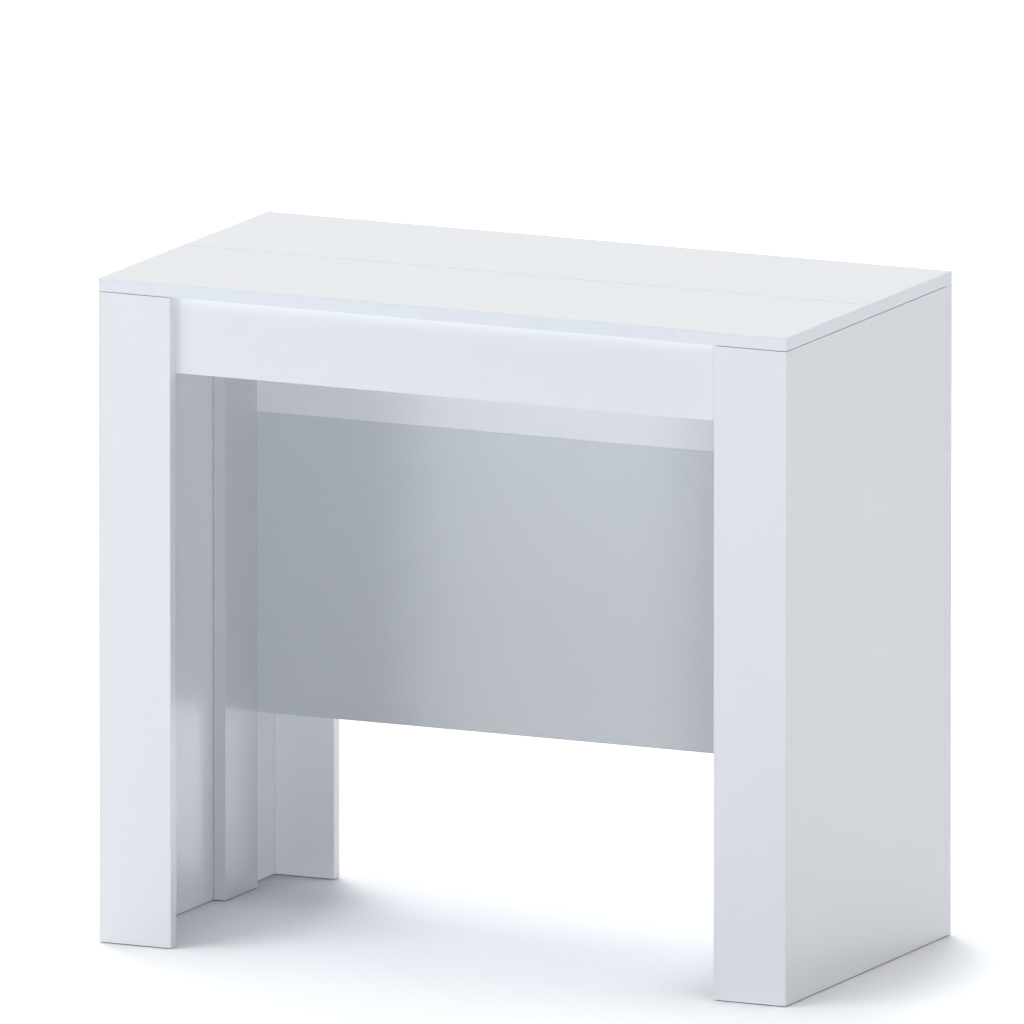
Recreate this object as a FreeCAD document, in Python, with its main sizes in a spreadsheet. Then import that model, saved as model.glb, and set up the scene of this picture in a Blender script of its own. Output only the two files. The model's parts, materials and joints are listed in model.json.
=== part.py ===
import FreeCAD, Part
import os

import Sketcher

# Extendable console table. A rear frame stands still and stores the spare leaves. A front frame pulls out of
# it on two telescopic guides, which are hidden under the top and carry the leaves when the table is long.
# X runs across the table, Y from front to back and Z up. The origin is on the floor, under the middle of the
# closed table. The right half is modelled and mirrored, because the table is the same on both sides.

# Driving sizes in millimetres.
SIZES = {
    # Closed table and its boards.
    "table_width": 860,
    "table_depth": 450,
    "table_height": 770,
    "top_thickness": 15,
    "board_thickness": 15,
    "edge_radius": 0.5,
    "leg_width": 90,
    "apron_height": 90,
    "upright_width": 85,
    "panel_height": 350,
    "rail_height": 90,
    # Spare leaves: their length along the open table, and the play round each in the store.
    "leaf_length": 430,
    "leaf_gap": 0.8,
    "leaf_end_gap": 1,
    "leaf_head_gap": 4,
    # Play between the two frames: beside the uprights, under the top, in the seam and at the back.
    "side_gap": 0.4,
    "top_gap": 0.6,
    "seam_gap": 0.5,
    "rear_gap": 0.5,
    # Guide bars with a slot in each face, and the sliders that run in the slots.
    "bar_thickness": 9,
    "bar_height": 40,
    "bar_gap": 3.5,
    "slot_mouth": 10,
    "slot_height": 18,
    "slot_lip": 1.5,
    "slot_depth": 2,
    "slider_length": 46,
    "slider_gap": 0.25,
    "stop_gap": 0.5,
    "guide_end_gap": 5,
    "guide_side_gap": 2,
    "flange_width": 18,
    "flange_thickness": 3,
    "flange_setback": 10,
    # Dowels and the pins that line the top up.
    "dowel_diameter": 8,
    "dowel_length": 30,
    "dowel_cover": 5,
    "dowel_inset": 40,
    "dowel_spacing": 200,
    "pin_projection": 10,
    "pin_spacing": 600,
    "pin_gap": 0.3,
    "fit_gap": 0.1,
    "drill_gap": 1,
    # Screws and angle brackets.
    "screw_diameter": 4,
    "screw_head_diameter": 8,
    "screw_crown_diameter": 5,
    "screw_head_height": 2.4,
    "screw_inset": 20,
    "bracket_leg": 20,
    "bracket_width": 20,
    "bracket_thickness": 2,
    "bracket_hole_offset": 12,
    "bracket_inset": 45,
    "bracket_spacing": 90,
    # Nailed floor glides.
    "glide_diameter": 12,
    "glide_height": 1,
    "glide_inset": 15,
    "nail_diameter": 3,
    "nail_length": 10,
}

# Counts: stored leaves, dowels along a long edge and screws along a flange.
LEAF_COUNT = 4
EDGE_DOWEL_COUNT = 3
FLANGE_SCREW_COUNT = 3

# Places and sizes that follow from the driving sizes.
LAYOUT = {
    "half_width": "Sizes.table_width / 2",
    "half_depth": "Sizes.table_depth / 2",
    "frame_top": "Sizes.table_height - Sizes.top_thickness",
    "sliding_top": "frame_top - Sizes.top_gap",
    "top_middle": "frame_top + Sizes.top_thickness / 2",
    "half_top_depth": "half_depth - Sizes.seam_gap / 2",
    # Front frame.
    "panel_inner": "half_width - Sizes.board_thickness",
    "panel_middle": "half_width - Sizes.board_thickness / 2",
    "leg_inner": "half_width - Sizes.leg_width",
    "front_leg_back": "Sizes.board_thickness - half_depth",
    "front_leg_middle": "Sizes.board_thickness / 2 - half_depth",
    "front_apron_back": "front_leg_back + Sizes.board_thickness",
    "front_apron_middle": "front_leg_back + Sizes.board_thickness / 2",
    "apron_bottom": "frame_top - Sizes.apron_height",
    "apron_middle": "frame_top - Sizes.apron_height / 2",
    # Rear frame, which slides between the side panels.
    "rear_half": "panel_inner - Sizes.side_gap",
    "upright_inner": "rear_half - Sizes.board_thickness",
    "upright_middle": "rear_half - Sizes.board_thickness / 2",
    "rear_leg_face": "half_depth - Sizes.board_thickness",
    "rear_leg_middle": "half_depth - Sizes.board_thickness / 2",
    "rear_apron_face": "rear_leg_face - Sizes.board_thickness",
    "rear_apron_middle": "rear_leg_face - Sizes.board_thickness / 2",
    "leaf_pitch": "Sizes.top_thickness + Sizes.leaf_gap",
    "store_depth": f"{LEAF_COUNT} * leaf_pitch + Sizes.leaf_gap",
    "panel_back": "rear_leg_face - store_depth",
    "panel_face": "panel_back - Sizes.board_thickness",
    "upright_face": "panel_face - Sizes.upright_width",
    "leaf_top": "apron_bottom - Sizes.leaf_head_gap - Sizes.pin_projection",
    "shelf_top": "leaf_top - Sizes.leaf_length",
    "shelf_bottom": "shelf_top - Sizes.board_thickness",
    "shelf_middle": "shelf_top - Sizes.board_thickness / 2",
    "panel_top": "shelf_bottom + Sizes.panel_height",
    "rail_top": "panel_top + Sizes.rail_height",
    "leaf_half": "rear_half - Sizes.leaf_end_gap",
    # Guides, which fit between the aprons.
    "bar_length": "2 * (rear_apron_face - Sizes.guide_end_gap)",
    "bar_pitch": "Sizes.bar_thickness + Sizes.bar_gap",
    "bar_bottom": "sliding_top - Sizes.bar_height",
    "flange_edge": "panel_inner - max(Sizes.bracket_leg; Sizes.side_gap + Sizes.board_thickness)"
                   " - Sizes.guide_side_gap",
    "guide_face": "flange_edge - Sizes.flange_width",
    "flange_length": "bar_length / 2 - Sizes.flange_setback",
    "flange_bottom": "frame_top - Sizes.flange_thickness",
    "stage_travel": "bar_length - 2 * Sizes.slider_length - Sizes.stop_gap",
    "stage_count": f"ceil({LEAF_COUNT} * Sizes.leaf_length / stage_travel)",
    "slider_head": "Sizes.slot_depth - 2 * Sizes.slider_gap",
    "slider_reach": "Sizes.slot_lip + Sizes.slot_depth - Sizes.slider_gap",
    "slider_width": "2 * slider_reach + Sizes.bar_gap",
    # Fasteners: how deep they bite into a face, and the two screw lengths.
    "face_bite": "min(Sizes.board_thickness; Sizes.top_thickness) - Sizes.dowel_cover",
    "pin_depth": "Sizes.dowel_length - Sizes.pin_projection",
    "screw_length": "max(Sizes.flange_thickness; Sizes.bracket_thickness) + face_bite",
    "long_screw_length": "Sizes.board_thickness + face_bite",
}

RIGHT = FreeCAD.Vector(1, 0, 0)
LEFT = FreeCAD.Vector(-1, 0, 0)
BACK = FreeCAD.Vector(0, 1, 0)
FRONT = FreeCAD.Vector(0, -1, 0)
UP = FreeCAD.Vector(0, 0, 1)
DOWN = FreeCAD.Vector(0, 0, -1)

doc = FreeCAD.newDocument("console_table")
nodes = []


def fill_sheet(name, cells):
    """Write named cells into a spreadsheet of their own."""
    sheet = doc.addObject("Spreadsheet::Sheet", name)
    for row, (alias, content) in enumerate(cells.items(), 1):
        sheet.set(f"A{row}", content)
        sheet.setAlias(f"A{row}", alias)


fill_sheet("Sizes", {alias: str(value) for alias, value in SIZES.items()})
fill_sheet("Layout", {alias: f"={formula}" for alias, formula in LAYOUT.items()})
doc.recompute()

# Sliding pairs in each guide: as many as the leaves need to fit between the pulled-out halves of the top.
STAGE_COUNT = int(doc.Layout.stage_count)


def place(item, point, turn=FreeCAD.Rotation()):
    """Turn an object and tie its position to three expressions."""
    item.Placement = FreeCAD.Placement(FreeCAD.Vector(), turn)
    for axis, expression in zip("xyz", point):
        item.setExpression(f".Placement.Base.{axis}", expression)


def shifted(point, direction, distance):
    """Move a point of expressions along an axis direction."""
    return [f"{at} + {part:g} * ({distance})" for at, part in zip(point, direction)]


def spread(first, last, count):
    """Space expressions evenly from the first to the last."""
    return [f"{first} + {step} / {count - 1} * ({last} - ({first}))" for step in range(count)]


def quarters(low, high):
    """Place two expressions at the quarter points of a width."""
    return [f"{low} + {part} / 4 * ({high} - ({low}))" for part in (1, 3)]


def named(item, name):
    """Keep an object as a sub-part under its own name."""
    item.Label = name
    nodes.append(item)
    return item


def mirrored(item, name):
    """Mirror a right-hand object to the left side."""
    image = doc.addObject("Part::Mirroring", name)
    image.Source = item
    image.Normal = RIGHT
    return image


def compound(name, items):
    """Gather separate solids in one object."""
    gathered = doc.addObject("Part::Compound", name)
    gathered.Links = items
    return gathered


def both_sides(name, items):
    """Gather right-hand solids and their mirror images."""
    return compound(name, items + [mirrored(item, f"{item.Name}_left") for item in items])


def named_pair(make, name):
    """Make a right-hand sub-part and mirror it for the left."""
    right = named(make(f"{name}_right"), f"{name}_right")
    named(mirrored(right, f"{name}_left"), f"{name}_left")


def rectangle(body, role, size, corner=("0", "0", "0")):
    """Sketch a rectangle on an origin plane of a body, from a corner that may be lifted off the plane."""
    plane = next(item for item in body.Origin.OriginFeatures if item.Role == role)
    sketch = body.newObject("Sketcher::SketchObject", f"{body.Name}_outline")
    sketch.AttachmentSupport = [(plane, "")]
    sketch.MapMode = "FlatFace"
    for axis, expression in zip("xyz", corner):
        sketch.setExpression(f".AttachmentOffset.Base.{axis}", expression)
    corners = [FreeCAD.Vector(0, 0), FreeCAD.Vector(1, 0), FreeCAD.Vector(1, 1), FreeCAD.Vector(0, 1)]
    for start, end in zip(corners, corners[1:] + corners[:1]):
        sketch.addGeometry(Part.LineSegment(start, end))
    for side, kind in enumerate(("Horizontal", "Vertical", "Horizontal", "Vertical")):
        sketch.addConstraint(Sketcher.Constraint("Coincident", side, 2, (side + 1) % 4, 1))
        sketch.addConstraint(Sketcher.Constraint(kind, side))
    sketch.addConstraint(Sketcher.Constraint("Coincident", 0, 1, -1, 1))
    for side, (kind, name) in enumerate((("DistanceX", "width"), ("DistanceY", "height"))):
        index = sketch.addConstraint(Sketcher.Constraint(kind, side, 1, side, 2, 1))
        sketch.renameConstraint(index, name)
        sketch.setExpression(f"Constraints.{name}", size[side])
    return sketch


def extrude(body, kind, sketch, length, reverse=False):
    """Pad or pocket a sketch over a length."""
    feature = body.newObject(kind, f"{sketch.Name}_run")
    feature.Profile = sketch
    feature.Reversed = reverse
    feature.setExpression("Length", length)
    body.Tip = feature
    return feature


def strip(body, kind, size, corner, length):
    """Pad or pocket a rectangle of X and Z sizes backwards along Y."""
    sketch = rectangle(body, "XZ_Plane", size, corner)
    return extrude(body, kind, sketch, length, kind == "PartDesign::Pad")


def board(name, size, corner):
    """Make a board with rounded edges from its three sizes and its lowest corner."""
    body = doc.addObject("PartDesign::Body", f"{name}_blank")
    slab = extrude(body, "PartDesign::Pad", rectangle(body, "XY_Plane", size), size[2])
    edges = body.newObject("PartDesign::Fillet", f"{name}_edges")
    edges.Base = (slab, ["Edge1"])
    edges.UseAllEdges = True
    edges.setExpression("Radius", "Sizes.edge_radius")
    body.Tip = edges
    place(body, corner)
    return body


def drilled(name, blank, drills):
    """Cut fastener holes into a blank."""
    piece = doc.addObject("Part::Cut", name)
    piece.Base = blank
    piece.Tool = drills
    return piece


def rod(name, diameter, length, start, direction):
    """Make a cylinder from a start point along a direction."""
    cylinder = doc.addObject("Part::Cylinder", name)
    cylinder.setExpression("Radius", f"({diameter}) / 2")
    cylinder.setExpression("Height", length)
    place(cylinder, start, FreeCAD.Rotation(UP, direction))
    return cylinder


def joined(name, base, tool):
    """Fuse two solids into one."""
    whole = doc.addObject("Part::Fuse", name)
    whole.Base = base
    whole.Tool = tool
    return whole


class Joinery:
    """The fasteners in the right half of one frame, and the holes that they sit in."""

    def __init__(self, frame):
        self.frame = frame
        self.dowels = []
        self.screws = []
        self.apron_screws = []
        self.brackets = []
        self.glides = []
        self.drills = []

    def drill(self, diameter, length, start, direction):
        """Add a hole."""
        self.drills.append(rod(f"{self.frame}_hole", diameter, length, start, direction))

    def dowel(self, point, direction):
        """Set a dowel across a joint, from the board whose face is drilled into the other board's edge."""
        start = shifted(point, direction, "-Layout.face_bite")
        dowel = rod(f"{self.frame}_dowel", "Sizes.dowel_diameter", "Sizes.dowel_length", start, direction)
        self.dowels.append(dowel)
        self.drill("Sizes.dowel_diameter + 2 * Sizes.fit_gap", "Sizes.dowel_length + 2 * Sizes.drill_gap",
                   shifted(start, direction, "-Sizes.drill_gap"), direction)

    def pin(self, seam, direction):
        """Set a pin that stands out of an edge at the seam, with room to pull off."""
        start = shifted(seam, direction, "-Layout.pin_depth")
        self.drill("Sizes.dowel_diameter + 2 * Sizes.pin_gap", "Sizes.dowel_length + 2 * Sizes.drill_gap",
                   shifted(start, direction, "-Sizes.drill_gap"), direction)
        return rod("pin", "Sizes.dowel_diameter", "Sizes.dowel_length", start, direction)

    def screw(self, point, direction, length="Layout.screw_length"):
        """Drive a screw whose head bears at the point."""
        shank = rod(f"{self.frame}_shank", "Sizes.screw_diameter", length, point, direction)
        head = doc.addObject("Part::Cone", f"{self.frame}_head")
        head.setExpression("Radius1", "Sizes.screw_head_diameter / 2")
        head.setExpression("Radius2", "Sizes.screw_crown_diameter / 2")
        head.setExpression("Height", "Sizes.screw_head_height")
        place(head, point, FreeCAD.Rotation(UP, -direction))
        self.drill("Sizes.screw_diameter + 2 * Sizes.fit_gap", f"{length} + Sizes.drill_gap", point, direction)
        return joined(f"{self.frame}_screw", shank, head)

    def bracket(self, corner, outward):
        """Screw an angle bracket into the corner between an upright face and the top."""
        body = doc.addObject("PartDesign::Body", f"{self.frame}_bracket")
        lift = "Sizes.bracket_width / 2"
        leg, thickness, hole = "Sizes.bracket_leg", "Sizes.bracket_thickness", "Sizes.bracket_hole_offset"
        for size in ((thickness, leg), (leg, thickness)):
            strip(body, "PartDesign::Pad", size, ("0", f"-{size[1]}", lift), "Sizes.bracket_width")
        place(body, corner, FreeCAD.Rotation(RIGHT, outward))
        self.brackets.append(body)
        wall_point = shifted(shifted(corner, outward, thickness), DOWN, hole)
        top_point = shifted(shifted(corner, outward, hole), DOWN, thickness)
        self.screws.append(self.screw(wall_point, -outward))
        self.screws.append(self.screw(top_point, UP))

    def glide(self, across, along):
        """Nail a glide under a board's lower edge."""
        pad = rod(f"{self.frame}_pad", "Sizes.glide_diameter", "Sizes.glide_height", (across, along, "0"), UP)
        start = (across, along, "Sizes.glide_height")
        nail = rod(f"{self.frame}_nail", "Sizes.nail_diameter", "Sizes.nail_length", start, UP)
        self.glides.append(joined(f"{self.frame}_glide", pad, nail))
        self.drill("Sizes.nail_diameter + 2 * Sizes.fit_gap", "Sizes.nail_length + Sizes.drill_gap", start, UP)

    def finish(self):
        """Gather the holes and keep each kind of fastener as one sub-part."""
        self.right_drills = compound(f"{self.frame}_right_holes", self.drills)
        self.all_drills = both_sides(f"{self.frame}_holes", self.drills)
        cut_brackets = [drilled(f"{item.Name}_drilled", item, self.right_drills) for item in self.brackets]
        groups = {
            "dowels": self.dowels,
            "screws": self.screws,
            "apron_screws": self.apron_screws,
            "brackets": cut_brackets,
            "glides": self.glides,
        }
        for kind, items in groups.items():
            name = f"{self.frame}_{kind}"
            named(both_sides(name, items), name)

    def right_board(self, name, size, corner):
        """Make a drilled right-hand board."""
        return drilled(name, board(name, size, corner), self.right_drills)

    def wide_board(self, name, size, corner):
        """Keep a drilled board that spans both sides."""
        named(drilled(name, board(name, size, corner), self.all_drills), name)


def front_joinery():
    """Fasten the right half of the front frame."""
    joinery = Joinery("front")
    for height in spread("Sizes.glide_height + Sizes.dowel_inset", "Layout.apron_bottom - Sizes.dowel_inset",
                         EDGE_DOWEL_COUNT):
        joinery.dowel(("Layout.panel_middle", "Layout.front_leg_back", height), BACK)
    for height in quarters("Layout.apron_bottom", "Layout.frame_top"):
        joinery.dowel(("Layout.panel_inner", "Layout.front_apron_middle", height), LEFT)
    for across in ("Sizes.dowel_spacing / 2", "Sizes.dowel_spacing * 3 / 2"):
        joinery.dowel((across, "Layout.front_apron_middle", "Layout.frame_top"), DOWN)
    for across in quarters("Layout.leg_inner", "Layout.panel_inner"):
        point = (across, "Layout.front_apron_back", "Layout.apron_middle")
        joinery.apron_screws.append(joinery.screw(point, FRONT, "Layout.long_screw_length"))
    joinery.bracket(("Sizes.dowel_spacing", "Layout.front_apron_back", "Layout.frame_top"), BACK)
    for step in range(2):
        along = f"Layout.front_apron_back + Sizes.bracket_inset + {step} * Sizes.bracket_spacing"
        joinery.bracket(("Layout.panel_inner", along, "Layout.frame_top"), LEFT)
    flange_middle = f"{bar_inner_face(STAGE_COUNT)} - Sizes.flange_width / 2"
    for along in spread("Sizes.screw_inset - Layout.bar_length / 2",
                        "-Sizes.flange_setback - Sizes.screw_inset", FLANGE_SCREW_COUNT):
        joinery.screws.append(joinery.screw((flange_middle, along, "Layout.flange_bottom"), UP))
    for across in ("Layout.half_width - Sizes.glide_inset", "Layout.leg_inner + Sizes.glide_inset"):
        joinery.glide(across, "Layout.front_leg_middle")
    for along in ("Layout.front_leg_back + Sizes.glide_inset",
                  "Layout.rear_leg_face - Sizes.rear_gap - Sizes.glide_inset"):
        joinery.glide("Layout.panel_middle", along)
    return joinery


def rear_joinery():
    """Fasten the right half of the rear frame."""
    joinery = Joinery("rear")
    panel_heights = spread("Layout.shelf_bottom + Sizes.dowel_inset", "Layout.panel_top - Sizes.dowel_inset",
                           EDGE_DOWEL_COUNT)
    for height in panel_heights + quarters("Layout.panel_top", "Layout.rail_top"):
        joinery.dowel(("Layout.upright_middle", "Layout.panel_face", height), FRONT)
    for along in quarters("Layout.upright_face", "Layout.panel_face"):
        joinery.dowel(("Layout.upright_middle", along, "Layout.frame_top"), DOWN)
    for across in ("Sizes.dowel_spacing / 2", "Sizes.dowel_spacing * 3 / 2"):
        joinery.dowel((across, "Layout.panel_back", "Layout.shelf_middle"), BACK)
        joinery.dowel((across, "Layout.rear_apron_middle", "Layout.frame_top"), DOWN)
    for across in quarters("Layout.leg_inner", "Layout.rear_half"):
        joinery.dowel((across, "Layout.rear_leg_face", "Layout.shelf_middle"), FRONT)
        point = (across, "Layout.rear_apron_face", "Layout.apron_middle")
        joinery.apron_screws.append(joinery.screw(point, BACK, "Layout.long_screw_length"))
    for across in quarters("Layout.leg_inner", "Layout.half_width"):
        joinery.dowel((across, "Layout.rear_leg_middle", "Layout.frame_top"), DOWN)
    joinery.bracket(("Sizes.dowel_spacing", "Layout.rear_apron_face", "Layout.frame_top"), FRONT)
    flange_middle = "Layout.guide_face + Sizes.flange_width / 2"
    for along in spread("Sizes.flange_setback + Sizes.screw_inset",
                        "Layout.bar_length / 2 - Sizes.screw_inset", FLANGE_SCREW_COUNT):
        joinery.screws.append(joinery.screw((flange_middle, along, "Layout.flange_bottom"), UP))
    for across in ("Layout.half_width - Sizes.glide_inset", "Layout.leg_inner + Sizes.glide_inset"):
        joinery.glide(across, "Layout.rear_leg_middle")
    for along in ("Layout.upright_face + Sizes.glide_inset", "Layout.panel_face - Sizes.glide_inset"):
        joinery.glide("Layout.upright_middle", along)
    return joinery


def top_pins(front, rear):
    """Set the pins that stand out of the front half of the top into the rear half."""
    seam = ("Sizes.pin_spacing / 2", "-Sizes.seam_gap / 2", "Layout.top_middle")
    pin = front.pin(seam, BACK)
    rear.drills.append(front.drills[-1])
    named(both_sides("top_pins", [pin]), "top_pins")


def front_boards(joinery):
    """Make the boards of the front frame."""
    leg_height = "Layout.sliding_top - Sizes.glide_height"
    named_pair(lambda name: joinery.right_board(
        name, ("Sizes.leg_width", "Sizes.board_thickness", leg_height),
        ("Layout.leg_inner", "-Layout.half_depth", "Sizes.glide_height")), "front_leg")
    panel_depth = "Layout.rear_leg_face - Sizes.rear_gap - Layout.front_leg_back"
    named_pair(lambda name: joinery.right_board(
        name, ("Sizes.board_thickness", panel_depth, leg_height),
        ("Layout.panel_inner", "Layout.front_leg_back", "Sizes.glide_height")), "side_panel")
    joinery.wide_board("front_apron", ("2 * Layout.panel_inner", "Sizes.board_thickness", "Sizes.apron_height"),
                       ("-Layout.panel_inner", "Layout.front_leg_back", "Layout.apron_bottom"))
    joinery.wide_board("top_front", ("Sizes.table_width", "Layout.half_top_depth", "Sizes.top_thickness"),
                       ("-Layout.half_width", "-Layout.half_depth", "Layout.frame_top"))


def rear_boards(joinery):
    """Make the boards of the rear frame."""
    leg_height = "Layout.frame_top - Sizes.glide_height"
    named_pair(lambda name: joinery.right_board(
        name, ("Sizes.leg_width", "Sizes.board_thickness", leg_height),
        ("Layout.leg_inner", "Layout.rear_leg_face", "Sizes.glide_height")), "rear_leg")
    named_pair(lambda name: joinery.right_board(
        name, ("Sizes.board_thickness", "Sizes.upright_width", leg_height),
        ("Layout.upright_inner", "Layout.upright_face", "Sizes.glide_height")), "inner_upright")
    rear_width = "2 * Layout.rear_half"
    joinery.wide_board("modesty_panel", (rear_width, "Sizes.board_thickness", "Sizes.panel_height"),
                       ("-Layout.rear_half", "Layout.panel_face", "Layout.shelf_bottom"))
    joinery.wide_board("cross_rail", (rear_width, "Sizes.board_thickness", "Sizes.rail_height"),
                       ("-Layout.rear_half", "Layout.panel_face", "Layout.panel_top"))
    joinery.wide_board("leaf_shelf", (rear_width, "Layout.store_depth", "Sizes.board_thickness"),
                       ("-Layout.rear_half", "Layout.panel_back", "Layout.shelf_bottom"))
    joinery.wide_board("rear_apron", (rear_width, "Sizes.board_thickness", "Sizes.apron_height"),
                       ("-Layout.rear_half", "Layout.rear_apron_face", "Layout.apron_bottom"))
    joinery.wide_board("top_rear", ("Sizes.table_width", "Layout.half_top_depth", "Sizes.top_thickness"),
                       ("-Layout.half_width", "Sizes.seam_gap / 2", "Layout.frame_top"))


def leaves():
    """Stand the spare leaves in the store, each with two pins in one edge and two sockets in the other."""
    pins = []
    for index in range(LEAF_COUNT):
        name = f"leaf_{index + 1}"
        joinery = Joinery(name)
        face = f"Layout.panel_back + Sizes.leaf_gap + {index} * Layout.leaf_pitch"
        middle = f"{face} + Sizes.top_thickness / 2"
        pins.append(joinery.pin(("Sizes.pin_spacing / 2", middle, "Layout.leaf_top"), UP))
        socket = ("Sizes.pin_spacing / 2", middle, "Layout.shelf_top - Sizes.drill_gap")
        joinery.drill("Sizes.dowel_diameter + 2 * Sizes.pin_gap", "Sizes.pin_projection + 2 * Sizes.drill_gap",
                      socket, UP)
        holes = both_sides(f"{name}_holes", joinery.drills)
        blank = board(name, ("2 * Layout.leaf_half", "Sizes.top_thickness", "Sizes.leaf_length"),
                      ("-Layout.leaf_half", face, "Layout.shelf_top"))
        named(drilled(name, blank, holes), name)
    named(both_sides("leaf_pins", pins), "leaf_pins")


def bar_inner_face(stage):
    """Give the X of a guide bar's inner face."""
    return f"(Layout.guide_face - Sizes.bar_thickness - {stage} * Layout.bar_pitch)"


def slot(body, face, inward):
    """Cut a slot with a narrow mouth along a bar, from one of its faces."""
    slot_end = "(Sizes.slot_lip + Sizes.slot_depth)"
    mouth_end = "(Sizes.slot_lip + Sizes.slot_depth / 2)"
    cuts = (("Sizes.slot_height", "Sizes.slot_depth", "Sizes.slot_lip", slot_end),
            ("Sizes.slot_mouth", mouth_end, "0", mouth_end))
    for height, depth, near, far in cuts:
        start = f"{face} + {near}" if inward > 0 else f"{face} - {far}"
        corner = (start, f"(Sizes.bar_height - {height}) / 2", "0")
        strip(body, "PartDesign::Pocket", (depth, height), corner, "Layout.bar_length")


def flange(body, start, setback):
    """Add the flange that screws a bar to its half of the top."""
    size = ("Sizes.bar_thickness + Sizes.flange_width", "Sizes.flange_thickness")
    corner = (start, "Sizes.bar_height + Sizes.top_gap - Sizes.flange_thickness", f"-({setback})")
    strip(body, "PartDesign::Pad", size, corner, "Layout.flange_length")


def guide_name(stage):
    """Name a stage of the guides after the frame that carries it, or else by its number."""
    return {0: "rear_guide", STAGE_COUNT: "front_guide"}.get(stage, f"guide_{stage}")


def guide_bar(stage):
    """Make one right-hand bar of the guide. The first and last bars have a flange, the others two slots."""
    body = doc.addObject("PartDesign::Body", f"{guide_name(stage)}_bar_blank")
    section = ("Sizes.bar_thickness", "Sizes.bar_height")
    strip(body, "PartDesign::Pad", section, ("0", "0", "0"), "Layout.bar_length")
    if stage == 0:
        flange(body, "0", "Layout.bar_length - Layout.flange_length")
    else:
        slot(body, "Sizes.bar_thickness", -1)
    if stage == STAGE_COUNT:
        flange(body, "-Sizes.flange_width", "0")
    else:
        slot(body, "0", 1)
    place(body, (bar_inner_face(stage), "-Layout.bar_length / 2", "Layout.bar_bottom"))
    return body


def slider(stage, start):
    """Make the slider that runs between a bar and the next one inwards."""
    body = doc.addObject("PartDesign::Body", f"slider_{stage}")
    head = "Layout.slider_head"
    parts = (("0", head, "Sizes.slot_height"), (f"Layout.slider_width - {head}", head, "Sizes.slot_height"),
             (f"{head} / 2", f"Layout.slider_width - {head}", "Sizes.slot_mouth"))
    for across, width, opening in parts:
        height = f"{opening} - 2 * Sizes.slider_gap"
        corner = (across, f"(Sizes.bar_height - ({height})) / 2", "0")
        strip(body, "PartDesign::Pad", (width, height), corner, "Sizes.slider_length")
    across = f"{bar_inner_face(stage)} - Sizes.bar_gap - Layout.slider_reach"
    place(body, (across, start, "Layout.bar_bottom"))
    return body


def guides(front, rear):
    """Make the bars and sliders of both guides, from the rear frame's bar to the front frame's."""
    for stage in range(STAGE_COUNT + 1):
        blank = guide_bar(stage)
        frame = {0: rear, STAGE_COUNT: front}.get(stage)
        named_pair(lambda name: drilled(name, blank, frame.right_drills) if frame else blank,
                   f"{guide_name(stage)}_bar")
        sliders = []
        if stage < STAGE_COUNT:
            sliders.append(slider(stage, "-Layout.bar_length / 2"))
        if stage > 0:
            sliders.append(slider(stage - 1, "Layout.bar_length / 2 - Sizes.slider_length"))
        named_pair(lambda name: compound(name, sliders), f"{guide_name(stage)}_sliders")


def check_and_write():
    """Stop on any failed object, then write each sub-part to its own file."""
    for item in doc.Objects:
        if "Invalid" in item.State or "Error" in item.State:
            raise RuntimeError(f"{item.Label} failed: {item.State}")
    for node in nodes:
        if node.Shape.isNull() or not node.Shape.isValid() or not node.Shape.Solids:
            raise RuntimeError(f"{node.Label} has no valid solid")
    os.makedirs("parts", exist_ok=True)
    for node in nodes:
        node.Shape.exportStep(f"parts/{node.Label}.step")
        print(f"{node.Label}: {len(node.Shape.Solids)} solid(s), {node.Shape.Volume / 1000:.1f} cm3")


front_frame = front_joinery()
rear_frame = rear_joinery()
top_pins(front_frame, rear_frame)
front_frame.finish()
rear_frame.finish()
front_boards(front_frame)
rear_boards(rear_frame)
leaves()
guides(front_frame, rear_frame)
doc.recompute()
check_and_write()
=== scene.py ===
"""Looks of the extendable console table: its finishes, its small fittings and a plain studio.

Boards, guide bars and sliders keep their CAD solids and get their finishes here. Screws, brackets, dowels,
pins and floor glides are made again with the detail that shows from near by, each at the place of its CAD
solid.
"""

import json
import logging
import math
from collections.abc import Iterable
from dataclasses import dataclass, fields
from enum import Enum
from typing import Any

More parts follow.
